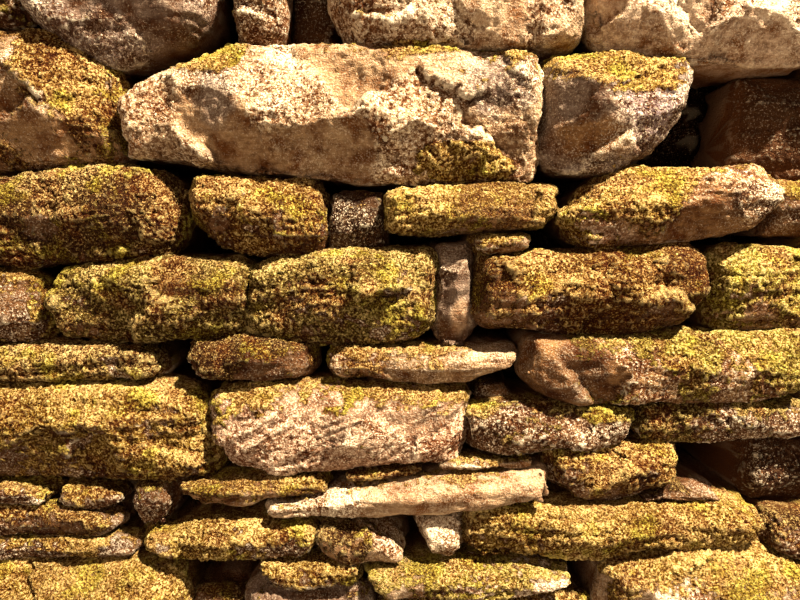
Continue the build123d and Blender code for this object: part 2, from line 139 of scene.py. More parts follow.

# The stones that the view shows: place along and up, then the look: rock, moss, how much of it
# covers the stone, how much more at the top edge, how much more towards the right, how pale it
# is and how much painted sunlight it gets, and how the face is broken. The shadowed rock is painted
# shade for stones set back in shadow, and the umber moss given to some stones on the left is partly
# painted shade
LOOK = ("rock", "moss", "cover", "top", "side", "dry", "kind")
SEEN = {
    "front_course_10": [
        (-58.5, 107.6, "brown", "olive", 0.3, 0.2, 0.0, 0.35, "riven"),
        (-36.0, 105.1, "grey", "umber", 0.02, 0.1, 0.0, 0.20, "riven"),
        (-18.3, 106.3, "brown", "umber", 0.15, 0.1, 0.0, 0.30, "riven"),
        (7.7, 105.9, "pale", "gold", 0.05, 0.1, 0.0, 0.45, "rough"),
        (39.3, 105.2, "palest", "gold", 0.02, 0.1, 0.0, 0.65, "rough"),
        (62.1, 108.4, "buff", "gold", 0.3, 0.2, 0.0, 0.40, "riven"),
    ],
    "front_course_9": [
        (-48.6, 92.5, "buff", "ochre", 0.55, 0.1, 0.1, 0.30, "riven"),
        (-9.0, 90.8, "cream", "gold", 0.06, 0.18, 0.05, 0.45, "rough"),
        (27.7, 90.8, "grey", "gold", 0.03, 0.55, 0.0, 0.50, "riven"),
        (53.4, 89.5, "dark", "umber", 0.0, 0.0, 0.0, 0.0, "riven"),
    ],
    "front_course_8": [
        (-46.2, 77.9, "brown", "umber", 0.80, 0.2, 0.1, 0.30, "riven"),
        (-18.1, 78.0, "brown", "ochre", 0.78, 0.2, 0.0, 0.30, "riven"),
        (-5.5, 77.3, "dark", "umber", 0.2, 0.2, 0.0, 0.10, "riven"),
        (9.2, 78.8, "buff", "gold", 0.90, 0.2, 0.0, 0.50, "bedded"),
        (34.1, 79.0, "tan", "gold", 0.42, 0.3, -0.5, 0.45, "bedded"),
        (56.4, 79.1, "brown", "gold", 0.3, 0.3, 0.0, 0.30, "riven"),
    ],
    "front_course_7": [
        (-48.9, 66.4, "brown", "gold", 0.45, 0.3, 0.0, 0.40, "riven"),
        (-31.8, 67.3, "brown", "olive", 0.88, 0.2, 0.0, 0.38, "riven"),
        (-7.2, 67.8, "brown", "olive", 0.85, 0.2, 0.1, 0.45, "riven"),
        (6.9, 68.0, "grey", "umber", 0.0, 0.0, 0.0, 0.35, "riven"),
        (24.3, 68.5, "brown", "ochre", 0.85, 0.2, 0.0, 0.30, "riven"),
        (46.3, 68.6, "buff", "lime", 0.80, 0.2, 0.0, 0.50, "bedded"),
    ],
    "front_course_6": [
        (-41.4, 59.3, "brown", "umber", 0.70, 0.2, 0.0, 0.35, "bedded"),
        (-19.0, 59.8, "brown", "umber", 0.65, 0.2, 0.0, 0.30, "riven"),
        (2.9, 59.2, "buff", "ochre", 0.35, 0.3, -0.3, 0.45, "bedded"),
        (33.6, 58.7, "tan", "lime", 0.50, 0.3, 0.35, 0.40, "riven"),
    ],
    "front_course_5": [
        (-42.0, 50.7, "brown", "gold", 0.74, 0.25, 0.0, 0.45, "riven"),
        (-7.8, 51.2, "pink", "gold", 0.10, 0.5, -0.1, 0.50, "bedded"),
        (19.2, 51.0, "brown", "olive", 0.32, 0.4, 0.15, 0.30, "rough"),
        (41.2, 51.7, "brown", "olive", 0.55, 0.3, 0.0, 0.35, "riven"),
    ],
    "front_course_4": [
        (-53.5, 43.2, "brown", "gold", 0.5, 0.3, 0.0, 0.40, "bedded"),
        (-39.0, 42.5, "brown", "gold", 0.5, 0.3, 0.0, 0.35, "riven"),
        (0.7, 43.2, "pale", "gold", 0.05, 0.2, -0.1, 0.60, "bedded"),
        (27.3, 45.4, "brown", "ochre", 0.62, 0.2, 0.0, 0.35, "riven"),
        (54.4, 44.8, "dark", "umber", 0.0, 0.0, 0.0, 0.05, "riven"),
    ],
    "front_course_3": [
        (-49.4, 39.7, "brown", "ochre", 0.55, 0.2, 0.0, 0.40, "bedded"),
        (-21.9, 37.2, "brown", "gold", 0.65, 0.2, 0.0, 0.50, "riven"),
        (-4.6, 36.9, "buff", "umber", 0.35, 0.2, -0.2, 0.40, "rough"),
        (26.9, 38.8, "buff", "gold", 0.85, 0.1, 0.0, 0.55, "riven"),
        (54.9, 37.1, "brown", "umber", 0.4, 0.2, 0.0, 0.30, "riven"),
    ],
    "front_course_2": [
        (-48.3, 36.0, "brown", "gold", 0.6, 0.2, 0.0, 0.50, "bedded"),
        (-11.7, 33.1, "brown", "gold", 0.65, 0.2, 0.0, 0.50, "bedded"),
        (8.5, 32.3, "pale", "lime", 0.45, 0.2, -0.2, 0.60, "bedded"),
    ],
    "front_course_1": [
        (-44.6, 27.2, "buff", "gold", 0.75, 0.2, 0.0, 0.60, "riven"),
        (-23.8, 24.9, "brown", "umber", 0.3, 0.2, 0.0, 0.30, "riven"),
        (-11.2, 25.8, "grey", "umber", 0.1, 0.1, 0.0, 0.40, "rough"),
        (10.6, 25.1, "brown", "ochre", 0.3, 0.2, 0.0, 0.35, "riven"),
        (38.8, 28.6, "pale", "gold", 0.30, 0.5, 0.0, 0.60, "rough"),
    ],
    "front_pinnings": [
        (-31.5, 41.3, "brown", "umber", 0.2, 0.2, 0.0, 0.30, "riven"),
        (-18.4, 43.4, "buff", "gold", 0.75, 0.2, 0.0, 0.50, "bedded"),
        (-11.9, 106.2, "dark", "umber", 0.1, 0.1, 0.0, 0.10, "riven"),
        (-1.9, 45.4, "brown", "ochre", 0.5, 0.2, 0.0, 0.35, "bedded"),
        (5.2, 37.3, "pale", "gold", 0.0, 0.1, 0.0, 0.60, "rough"),
        (10.9, 46.6, "buff", "gold", 0.2, 0.2, 0.0, 0.45, "bedded"),
        (12.1, 55.2, "brown", "umber", 0.1, 0.2, 0.0, 0.30, "bedded"),
        (12.8, 74.4, "buff", "gold", 0.45, 0.3, 0.0, 0.40, "bedded"),
        (35.5, 43.1, "brown", "umber", 0.2, 0.2, 0.0, 0.30, "bedded"),
    ],
}

# Patches on the front face: place, half width, half height, and more moss or less
MOSS_PATCHES = [
    (-24.0, 98.0, 5.0, 2.6, 0.9),
    (2.5, 98.8, 5.0, 1.2, 0.8),
    (8.0, 84.5, 7.0, 3.0, 0.9),
    (27.5, 95.0, 8.0, 2.4, 0.6),
    (29.0, 81.0, 9.0, 4.0, 0.6),
    (41.0, 79.0, 7.0, 4.0, -0.8),
    (18.0, 60.0, 3.5, 3.5, -0.9),
    (12.5, 60.0, 4.0, 2.5, -0.5),
]

# Patches of other rock on the front face, and one of painted shade: place, half width, half height and
# rock
ROCK_PATCHES = [
    (-22.5, 92.5, 2.8, 3.6, "grey"),
    (12.0, 94.0, 5.0, 4.0, "grey"),
    (31.0, 90.5, 4.0, 4.0, "lilac"),
    (24.0, 87.5, 5.0, 2.5, "tan"),
    (25.0, 75.0, 4.0, 1.6, "palest"),
    (7.6, 65.0, 1.2, 2.5, "palest"),
    (13.0, 60.0, 4.0, 2.5, "cream"),
    (-3.0, 36.0, 4.0, 2.0, "cream"),
    # Painted shade on a facet that lies in shade
    (21.5, 58.5, 5.0, 4.0, "brown"),
    (43.5, 80.0, 4.5, 2.5, "brown"),
]

# Scars of splitting that the view shows: the stone's place, then rows of a scar's place, its lean
# along and up, how far it is set out in millimetres, and how sheer it is
SCARS = [
    (-9.3, 91.5, [
        (-32, 91, -0.10, -0.10, 0, 0.0), (-23, 90.5, 0.10, 0.30, -3, 1.0), (-23, 96, 0.0, -0.10, 4, 0.2),
        (-14, 92, -0.10, -0.20, 2, 0.0), (-5, 96.5, 0.12, 0.26, -3, 0.9),
        (-11, 86.5, 0.05, 0.30, 0, 0.9),
        (2, 91, -0.15, -0.18, 2, 0.0), (9, 96, -0.10, -0.10, 1, 0.5), (14, 91, 0.15, 0.16, -1, 0.3),
        (17, 97, -0.2, -0.15, 2, 0.0), (5, 85.5, 0.05, 0.10, 0, 0.0), (-30, 86.5, 0.1, 0.1, 0, 0.2),
    ]),
    (27.7, 90.8, [
        (27, 97, 0.0, -0.30, 0, 0.0), (30, 93, -0.05, -0.16, 3, 0.0), (23, 88, 0.05, 0.34, 1, 0.8),
        (32, 88, -0.10, 0.22, 1, 0.1), (19.5, 92, 0.30, 0.10, 0, 0.9), (27, 84.5, 0.0, 0.20, 2, 0.5),
    ]),
    (39.3, 105.2, [
        (26, 106, 0.15, 0.24, 0, 1.0), (32, 105.5, -0.05, -0.16, 1, 0.0),
        (36.5, 106, 0.10, 0.22, -1, 0.8), (42, 105, -0.05, -0.16, 1, 0.0),
        (46.2, 107, 0.10, 0.22, -1, 0.8), (51, 105, -0.05, -0.15, 1, 0.0),
        (31, 100.5, 0.0, 0.30, 0, 0.7), (44, 100.5, 0.0, 0.30, 0, 0.7),
    ]),
    (-36.0, 105.1, [
        (-40, 106, 0.0, 0.16, 0, 0.9), (-32, 102.5, 0.10, 0.20, 0, 0.9),
        (-44.5, 104, -0.05, -0.14, 1, 0.1),
        (-31, 107, -0.10, -0.12, 1, 0.1), (-36, 100.5, 0.0, -0.05, 0, 0.2),
    ]),
    (-7.8, 51.2, [
        (-20, 52, 0.0, -0.12, 1, 0.0), (-13, 49, -0.05, -0.14, 1, 0.0), (-9, 53.5, 0.10, 0.12, 0, 0.5),
        (-3, 50, -0.10, -0.16, 1, 0.1), (2, 53, 0.10, 0.20, -2, 0.7), (5.5, 49.5, -0.12, -0.10, 1, 0.0),
        (-6, 46.5, 0.0, 0.22, 0, 0.3),
    ]),
    (19.2, 51.0, [
        (12, 52, 0.10, 0.10, 0, 0.0), (20, 52, -0.10, -0.15, 1, 0.0), (26, 50, -0.20, 0.05, 0, 0.0),
        (16, 48.3, 0.0, 0.20, 0, 0.1),
    ]),
    (33.6, 58.7, [
        (17.5, 58, 0.28, 0.0, 0, 1.0), (23, 60, 0.10, 0.28, -2, 1.0), (27, 63, 0.0, -0.10, 1, 0.0),
        (32, 58, -0.10, -0.12, 2, 0.0), (40, 60, 0.0, -0.12, 1, 0.0), (48, 58, 0.0, -0.10, 1, 0.0),
        (38, 54.5, 0.0, 0.25, 0, 0.2),
    ]),
    (34.1, 79.0, [
        (24, 80, -0.05, -0.12, 0, 0.0), (32, 80, 0.0, -0.12, 2, 0.0), (38.5, 77.5, 0.0, 0.28, -1, 0.9),
        (45, 80, -0.15, -0.10, 0, 0.1), (28, 75, 0.0, 0.22, 0, 0.4),
    ]),
]

# What the stones outside the view are drawn from
COMMON_ROCKS = ["cream", "buff", "buff", "tan", "tan", "brown", "brown", "grey", "rust"]
COMMON_MOSSES = ["gold", "olive", "ochre", "umber", "lime"]
COMMON_COVERS = [0.1, 0.3, 0.4, 0.5, 0.65]
COMMON_KINDS = ["riven", "riven", "bedded", "rough"]

random.seed(11)


# Shared tools

def pick(*pieces):
    """Only these pieces are selected, the first one active."""
    for other in bpy.context.selected_objects:
        other.select_set(False)
    for piece in pieces:
        piece.select_set(True)
    bpy.context.view_layer.objects.active = pieces[0]


def apply_all(piece):
    pick(piece)
    for modifier in list(piece.modifiers):
        bpy.ops.object.modifier_apply(modifier=modifier.name)


def rows_of(items, what):
    """One vector of each point or face of a mesh, as rows."""
    flat = np.empty(len(items) * 3, np.float32)
    items.foreach_get(what, flat)
    return flat.reshape(-1, 3)


def points_of(mesh):
    return rows_of(mesh.vertices, "co")


def normals_of(mesh):
    return rows_of(mesh.vertex_normals, "vector")


def neighbours_mean(mesh, values):
    """The mean of each point's neighbours, for plain numbers or rows of them."""
    ends = np.empty(len(mesh.edges) * 2, np.int32)
    mesh.edges.foreach_get("vertices", ends)
    one, other = ends[0::2], ends[1::2]
    count = len(mesh.vertices)
    rows = values.reshape(count, -1)
    number = np.bincount(one, minlength=count) + np.bincount(other, minlength=count)
    total = np.empty(rows.shape)
    for k in range(rows.shape[1]):
        total[:, k] = np.bincount(one, rows[other, k], count) + np.bincount(other, rows[one, k], count)
    return (total / np.maximum(number, 1)[:, None]).reshape(values.shape)


def standing_out(mesh, rounds):
    """How far each point stands out of its surroundings, which grow with each round."""
    points, normals = points_of(mesh), normals_of(mesh)
    mean = points.astype(float)
    for _ in range(rounds):
        mean = neighbours_mean(mesh, mean)
    return ((points - mean) * normals).sum(1)


# Large numbers that scramble the corners of a cell, one for each axis
SCRAMBLE = np.array([73856093, 19349663, 83492791])


def drift(points, size, seed):
    """Soft noise from 0 to 1 that changes over about one size, from scrambled cell corners."""
    place = points / size + seed * 7.31
    cell = np.floor(place).astype(np.int64)
    part = place - cell
    part = part * part * (3 - 2 * part)
    total = np.zeros(len(points))
    for corner in range(8):
        step = np.array([corner & 1, corner >> 1 & 1, corner >> 2 & 1])
        key = (cell + step) @ SCRAMBLE + seed * 9176
        key = (key ^ key >> 13) * 1274126177 & 0x7FFFFFFF
        value = (key ^ key >> 9) % 65536 / 65535
        share = np.where(step, part, 1 - part).prod(1)
        total += value * share
    return total


def ease(low, high, values):
    """From 0 at the first limit to 1 at the second, with soft ends."""
    t = np.clip((values - low) / (high - low), 0, 1)
    return t * t * (3 - 2 * t)


def face_distance(points):
    """How far each point is behind the battered face on its side."""
    return FACE_AT_GROUND - BATTER * points[:, 2] - np.abs(points[:, 1])


def behind_face(points):
    """How far each point is behind the wall's nearest outer face, or its own stone's if set back."""
    face = np.minimum(face_distance(points), HALF_LENGTH - np.abs(points[:, 0]))
    return face - max(face.min() - SET_BACK_STARTS, 0)


def in_view(points):
    along = np.abs(points[:, 0]) < VIEW_HALF_WIDTH + PAST_SIDES
    up = (points[:, 2] > VIEW_LOW - PAST_FOOT) & (points[:, 2] < VIEW_HIGH + PAST_HEAD)
    return along & up & (points[:, 1] < 0)


def from_patch(points, x, z, wide, tall):
    """How far each point is from a patch's middle, with 1 at the patch's edge."""
    return np.hypot((points[:, 0] * IN_CM - x) / wide, (points[:, 2] * IN_CM - z) / tall)


# Relief textures

def relief(name, kind, size, **more):
    texture = bpy.data.textures.new(name, kind)
    texture.noise_scale = size
    for key, value in more.items():
        setattr(texture, key, value)
    return texture


BROAD = relief("broad", "CLOUDS", 0.085, noise_depth=1)
LUMPS = relief("lumps", "CLOUDS", 0.035, noise_depth=2)
LEDGES = relief("ledges", "CLOUDS", 0.022, noise_depth=2, noise_type="HARD_NOISE")
FLAKES = relief("flakes", "VORONOI", 0.045, distance_metric="DISTANCE")
PITS = relief("pits", "CLOUDS", 0.013, noise_depth=3, noise_type="HARD_NOISE")
GRAIN = relief("grain", "CLOUDS", 0.0045, noise_depth=2)
TUFTS = relief("tufts", "CLOUDS", 0.011, noise_depth=3)
NAP = relief("nap", "CLOUDS", 0.0034, noise_depth=1)


def lie_of_beds(name, slant):
    """A stand-in that draws a texture out flat along the beds of the rock."""
    bpy.ops.object.empty_add(location=(0, 0, 0), rotation=(0, math.radians(slant), 0))
    stand_in = bpy.context.object
    stand_in.name = name
    stand_in.scale = (6, 6, 1)
    return stand_in


BEDDING = lie_of_beds("bedding", 0)
SLANTED = lie_of_beds("slanted_bedding", -28)
SLANTED_COURSE = "front_course_5"


def press(piece, texture, strength, middle, group="", lie=None):
    """One layer of relief along the normals, out where the texture is over the middle."""
    layer = piece.modifiers.new(texture.name, "DISPLACE")
    layer.texture = texture
    layer.strength = strength
    layer.mid_level = middle
    layer.vertex_group = group
    layer.texture_coords = "OBJECT" if lie else "GLOBAL"
    if lie:
        layer.texture_coords_object = lie


# Stones

def split_into_stones(node):
    """Merges a copy of one CAD node and parts it into its stones."""
    copy = node.copy()
    copy.data = node.data.copy()
    copy.parent = None
    for key in list(copy.keys()):
        del copy[key]
    bpy.context.scene.collection.objects.link(copy)
    pick(copy)
    bpy.ops.object.mode_set(mode="EDIT")
    bpy.ops.mesh.select_all(action="SELECT")
    bpy.ops.mesh.remove_doubles(threshold=0.00001)
    bpy.ops.mesh.separate(type="LOOSE")
    bpy.ops.object.mode_set(mode="OBJECT")
    stones = list(bpy.context.selected_objects)
    stones.sort(key=lambda stone: tuple(points_of(stone.data).mean(0).round(4).tolist()))
    return stones


def weigh(piece, name, weights, steps=20):
    """A vertex group from plain weights, in steps."""
    group = piece.vertex_groups.new(name=name)
    rounded = np.round(np.clip(weights, 0, 1) * steps).astype(int)
    for step in range(1, steps + 1):
        chosen = np.nonzero(rounded == step)[0]
        if len(chosen):
            group.add(chosen.tolist(), step / steps, "REPLACE")


def round_arrises(stone, size):
    remesh = stone.modifiers.new("rounding", "REMESH")
    remesh.mode = "VOXEL"
    remesh.voxel_size = size
    apply_all(stone)


def thin_tail(stone):
    """Fewer faces on the part of a stone that lies deep in the wall."""
    deep = behind_face(points_of(stone.data)) > TAIL_STARTS
    if deep.mean() < TAIL_LEAST:
        return
    weigh(stone, "tail", deep.astype(float))
    decimate = stone.modifiers.new("tail", "DECIMATE")
    decimate.ratio = 1 - deep.mean() * (1 - TAIL_KEEPS)
    decimate.vertex_group = "tail"
    apply_all(stone)
    stone.vertex_groups.clear()


def soften(stone, times):
    smooth = stone.modifiers.new("wear", "SMOOTH")
    smooth.factor = 0.5
    smooth.iterations = times
    apply_all(stone)


def split_finer(stone):
    """Quarters the faces that look towards the view, and those on top a little way in."""
    mesh = stone.data
    middles, facing = rows_of(mesh.polygons, "center"), rows_of(mesh.polygons, "normal")
    behind = behind_face(middles) - max(behind_face(points_of(mesh)).min(), 0)
    seen = (facing[:, 1] < -0.30) | ((facing[:, 2] > 0.2) & (behind < 0.6 * FINE_DEPTH))
    near = in_view(middles) & (behind < FINE_DEPTH) & seen
    if not near.any():
        return
    pick(stone)
    bpy.ops.object.mode_set(mode="EDIT")
    bpy.ops.mesh.select_mode(type="FACE")
    bpy.ops.mesh.select_all(action="DESELECT")
    bpy.ops.object.mode_set(mode="OBJECT")
    mesh.polygons.foreach_set("select", near)
    bpy.ops.object.mode_set(mode="EDIT")
    bpy.ops.mesh.subdivide(number_cuts=1, smoothness=0)
    bpy.ops.object.mode_set(mode="OBJECT")


def swell_body(stone):
    """Makes a stone fuller behind its face, so that it meets its neighbours a little way in."""
    points, normals = points_of(stone.data), normals_of(stone.data)
    behind = behind_face(points)
    body = ease(0.022, 0.055, behind - behind.min()) * (0.25 + 0.75 * np.abs(normals[:, 0]))
    weigh(stone, "body", body)
    swelling = stone.modifiers.new("body", "DISPLACE")
    swelling.strength = SWELLING
    swelling.mid_level = 0
    swelling.vertex_group = "body"
    apply_all(stone)
    stone.vertex_groups.clear()


def choose_scars(stone, kind):
    """Where splitting left flat scars: place, lean along and up, set out, and how sheer each is."""
    points = points_of(stone.data)
    low, high = points.min(0), points.max(0)
    middle = (low + high) / 2
    for x, z, rows in SCARS:
        if middle[1] < 0 and math.hypot(middle[0] * IN_CM - x, middle[2] * IN_CM - z) < SAME_SCARS_WITHIN:
            return np.array(rows) / (IN_CM, IN_CM, 1, 1, IN_MM, 1)
    is_tie = abs(middle[0]) > HALF_LENGTH - TIE_WITHIN and high[1] - low[1] > TIE_LENGTH
    along = 1 if is_tie else 0
    size = high[[along, 2]] - low[[along, 2]]
    count = int(min(max(size[0] * size[1] / SCAR_AREA, SCARS_LEAST), SCARS_MOST))
    lean = {"riven": 1.0, "bedded": 0.6, "rough": 0.8}[kind] * min(size[1] / 0.09, 1)
    rows = []
    for _ in range(count):
        x = random.uniform(low[along], high[along])
        z = random.uniform(low[2], high[2])
        sheer = random.uniform(0.5, 1.0) if random.random() < SHEER_SHARE else 0.0
        leans = (random.uniform(-0.22, 0.22) * lean, random.uniform(-0.22, 0.28) * lean)
        rows.append((x, z, *leans, random.uniform(-0.002, 0.002), sheer))
    return np.array(rows)


def scars_at(points, scars, along=0):
    """How far the scars set each point near the face out, and how sheer it is there."""
    everywhere = np.zeros((2, len(points)))
    near = behind_face(points) < SCAR_REACH
    points = points[near]
    if not len(points):
        return everywhere
    x = points[:, along] + 0.020 * (drift(points, 0.030, 12) - 0.5)
    x = x + 0.008 * (drift(points, 0.008, 13) - 0.5)
    z = points[:, 2] + 0.020 * (drift(points, 0.030, 14) - 0.5)
    z = z + 0.008 * (drift(points, 0.008, 15) - 0.5)
    away = np.hypot(x[:, None] - scars[:, 0], (z[:, None] - scars[:, 1]) * 1.3)
    share = np.exp((away.min(1)[:, None] - away) / SCAR_EDGE)
    share /= share.sum(1)[:, None]
    leaning = (x[:, None] - scars[:, 0]) * scars[:, 2] + (z[:, None] - scars[:, 1]) * scars[:, 3]
    out = np.clip(leaning + scars[:, 4], -SCAR_DEPTH, SCAR_DEPTH)
    everywhere[:, near] = (share * out).sum(1), (share * scars[:, 5]).sum(1)
    return everywhere


def cleave(stone, scars):
    """Sets the scars into the outer faces of a stone."""
    points = points_of(stone.data)
    out, _ = scars_at(points, scars)
    face = face_distance(points)
    face -= max(face.min(), 0)
    end = HALF_LENGTH - np.abs(points[:, 0])
    moved = points.copy()
    flat_on = ease(0.25, 0.75, np.abs(normals_of(stone.data)[:, 1]))
    moved[:, 1] += np.sign(points[:, 1]) * out * ease(SCAR_GONE, SCAR_WHOLE, face) * flat_on
    if end.min() < AT_END:
        out, _ = scars_at(points, scars, 1)
        moved[:, 0] += np.sign(points[:, 0]) * out * ease(SCAR_GONE, SCAR_WHOLE, end)
    stone.data.vertices.foreach_set("co", moved.ravel())
    stone.data.update()


def break_faces(stone, kind, rougher, beds):
    """The broad shape of a split stone: hollows, ledges and flaked arrises."""
    weigh(stone, "arris", ease(0.0008, 0.004, standing_out(stone.data, 6)))
    press(stone, BROAD, 0.010 * rougher, 0.50)
    press(stone, LUMPS, 0.006 * rougher, 0.48)
    if kind == "riven":
        press(stone, FLAKES, 0.005, 0.45)
        press(stone, LEDGES, 0.007, 0.45, lie=BEDDING)
    if kind == "bedded":
        press(stone, LEDGES, 0.010, 0.48, lie=beds)
    if kind == "rough":
        press(stone, FLAKES, 0.010, 0.45)
        press(stone, PITS, 0.0045, 0.50)
    press(stone, FLAKES, 0.011, 0.9, group="arris")
    apply_all(stone)
    stone.vertex_groups.clear()


def undercut(stone, much):
    """Draws the lower part of a stone's face back, and its top a little, so that the face has a nose."""
    points = points_of(stone.data)
    low, high = points.min(0), points.max(0)
    up = (points[:, 2] - (low[2] + high[2]) / 2) / (high[2] - low[2]) * 2
    front = ease(0.12, 0.02, behind_face(points))
    back = much * (ease(0.1, -1.0, up) + 0.70 * ease(0.35, 1.0, up)) * front
    points[:, 1] -= np.sign(points[:, 1]) * back
    stone.data.vertices.foreach_set("co", points.ravel())


def keep_inside(stone):
    """Eases whatever stands past the outside of the wall back to it."""
    points = points_of(stone.data)
    margin = 0.012
    for axis in range(3):
        for side, limit in ((-1, -cad_low[axis]), (1, cad_high[axis])):
            reach = side * points[:, axis] - (limit - margin)
            eased = limit - margin + margin * np.tanh(np.maximum(reach, 0) / margin)
            points[:, axis] = np.where(reach > 0, side * eased, points[:, axis])
    stone.data.vertices.foreach_set("co", points.ravel())
    stone.data.update()


def moss_weights(points, normals, look):
    """Where moss sits: as the look says, more on top edges, broken up by noise and by the patches."""
    cover, top, side = look["cover"], look["top"], look["side"]
    low, high = points.min(0), points.max(0)
    middle, half = (low + high) / 2, (high - low) / 2
    up = (points[:, 2] - middle[2]) / half[2]
    across = (points[:, 0] - middle[0]) / half[0]
    amount = cover + top * ease(0.1, 1.0, up) + side * across + 0.25 * np.clip(normals[:, 2], -0.6, 1)
    amount += 0.75 * (drift(points, 0.045, 3) - 0.5) + 0.45 * (drift(points, 0.014, 5) - 0.5)
    amount += 0.55 * (drift(points, 0.005, 8) - 0.5)
    if points[:, 1].mean() < 0:
        for *patch, more in MOSS_PATCHES:
            amount += more * ease(1.25, 0.6, from_patch(points, *patch))
    return ease(0.36, 0.68, amount)


def rock_tones(points, look):
    """The rock's own colour at each point: the look's tone, mottled, and the patches."""
    mottled = 0.82 + 0.36 * drift(points, 0.05, 9) + 0.18 * (drift(points, 0.012, 2) - 0.5)
    rock = np.tile(np.array(ROCKS[look["rock"]]), (len(points), 1)) * mottled[:, None]
    if points[:, 1].mean() < 0:
        for *patch, tone in ROCK_PATCHES:
            reach = from_patch(points, *patch) + 0.5 * (drift(points, 0.012, 4) - 0.5)
            share = ease(1.2, 0.7, reach)[:, None]
            rock = rock * (1 - share) + np.array(ROCKS[tone]) * share
    return rock


def paint(mesh, name, values):
    """A named value or colour on every point, for the materials to read."""
    if values.ndim == 1:
        mesh.attributes.new(name, "FLOAT", "POINT").data.foreach_set("value", values.astype(np.float32))
    else:
        rows = np.ones((len(values), 4), np.float32)
        rows[:, :3] = values
        mesh.attributes.new(name, "FLOAT_COLOR", "POINT").data.foreach_set("color", rows.ravel())


def grow_moss(stone, moss, sheer):
    """Grain on the rock, less where it is sheer, then moss. Returns its height and the way it grows."""
    mesh = stone.data
    weigh(stone, "moss", moss)
    weigh(stone, "sheer_faces", 0.75 * sheer)
    press(stone, GRAIN, 0.0042, 0.50, group="sheer_faces")
    stone.modifiers[-1].invert_vertex_group = True
    apply_all(stone)
    before, normals = points_of(mesh), normals_of(mesh)
    press(stone, TUFTS, 0.0050, 0.25, group="moss")
    press(stone, NAP, 0.0055, 0.45, group="moss")
    apply_all(stone)
    keep_inside(stone)
    stone.vertex_groups.clear()
    return ((points_of(mesh) - before) * normals).sum(1), normals


def finish_surface(stone, look, crisp, scars=None):
    """Grain and moss on top of the broken faces, and the values that the materials read."""
    mesh = stone.data
    points = points_of(mesh)
    moss = moss_weights(points, normals_of(mesh), look)
    if look["in_face"]:
        moss *= ease(0.10, 0.05, behind_face(points))
    sheer = np.zeros(len(points)) if scars is None else scars_at(points, scars)[1]
    moss *= 1 - 0.4 * sheer
    nap, normals = grow_moss(stone, moss, sheer)
    points = points_of(mesh)
    # Paleness and painted sunlight: the stone's own paleness, patches of painted light and shade, and
    # points that face up painted brighter, as if lit from above
    dry = look["dry"] + 0.9 * (drift(points, 0.038, 6) - 0.5) + 0.25 * np.clip(normals[:, 2], -1, 1)
    # Deeper behind the face the colour goes over to soil and painted shade
    deep = ease(0.014, 0.075, behind_face(points)) if look["in_face"] else np.zeros(len(points))
    paint(mesh, "rock", rock_tones(points, look))
    paint(mesh, "moss_tint", np.tile(np.array(MOSSES[look["moss"]]), (len(points), 1)))
    paint(mesh, "moss", moss)
    paint(mesh, "sheer", sheer)
    paint(mesh, "dry", np.clip(dry, 0, 1))
    paint(mesh, "nap", np.clip(nap / NAP_HEIGHT, 0, 1))
    # How far each point stands out: the materials paint a highlight on crests and shade in hollows from
    # it
    paint(mesh, "proud", np.clip(standing_out(mesh, 2) / PROUD_HEIGHT, -1, 1) * crisp)
    paint(mesh, "deep", deep)


def look_of(node_name, middle):
    """The look of one stone: the table's where the view shows it, or else drawn from common ones."""
    for x, z, *look in SEEN.get(node_name, []):
        if math.hypot(x - middle[0] * IN_CM, z - middle[2] * IN_CM) < SAME_LOOK_WITHIN:
            return dict(zip(LOOK, look))
    return {
        "rock": random.choice(COMMON_ROCKS),
        "moss": random.choice(COMMON_MOSSES),
        "cover": random.choice(COMMON_COVERS),
        "kind": random.choice(COMMON_KINDS),
        "side": random.uniform(-0.2, 0.2),
        "dry": random.uniform(0.3, 0.6),
        "top": 0.3,
    }


def dress_stone(stone, node_name):
    """One CAD stone worn, broken, grown over with moss and painted."""
    points = points_of(stone.data)
    middle = (points.min(0) + points.max(0)) / 2
    close = node_name.startswith("front") and in_view(points).any()
    look = look_of(node_name, middle)
    look["in_face"] = not node_name.startswith("cope")
    round_arrises(stone, FINE if close else PLAIN)
    thin_tail(stone)
    soften(stone, 2 if close else 1)
    if look["in_face"] and "head" not in node_name:
        height = points[:, 2].max() - points[:, 2].min()
        undercut(stone, min(UNDERCUT_LARGEST, UNDERCUT_SHARE * height))
        swell_body(stone)
    scars = choose_scars(stone, look["kind"])
    if close:
        split_finer(stone)
        soften(stone, 1)
    cleave(stone, scars)
    beds = SLANTED if node_name == SLANTED_COURSE else BEDDING
    break_faces(stone, look["kind"], 1 if close else PLAIN_ROUGHER, beds)
    finish_surface(stone, look, 1 if close else PLAIN_CRISP, scars)


def gather(stones, node_name, slot):
    """The stones of one node back together, standing in for it."""
    pick(*stones)
    if len(stones) > 1:
        bpy.ops.object.join()
    piece = stones[0]
    piece.name = "dressed_" + node_name
    bpy.ops.object.shade_smooth()
    piece.data.materials.clear()
    piece.data.materials.append(FINISHES[slot])
    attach(piece, "root")
    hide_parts(node_name)


# Materials

def link(tree, output, socket):
    tree.links.new(output, socket)


def read_value(tree, name, output="Fac"):
    node = tree.nodes.new("ShaderNodeAttribute")
    node.attribute_name = name
    return node.outputs[output]


def read_colour(tree, name):
    return read_value(tree, name, "Color")


def noise(tree, place, scale, detail=3.0, rough=0.6):
    node = tree.nodes.new("ShaderNodeTexNoise")
    node.inputs["Scale"].default_value = scale
    node.inputs["Detail"].default_value = detail
    node.inputs["Roughness"].default_value = rough
    link(tree, place, node.inputs["Vector"])
    return node.outputs["Fac"]


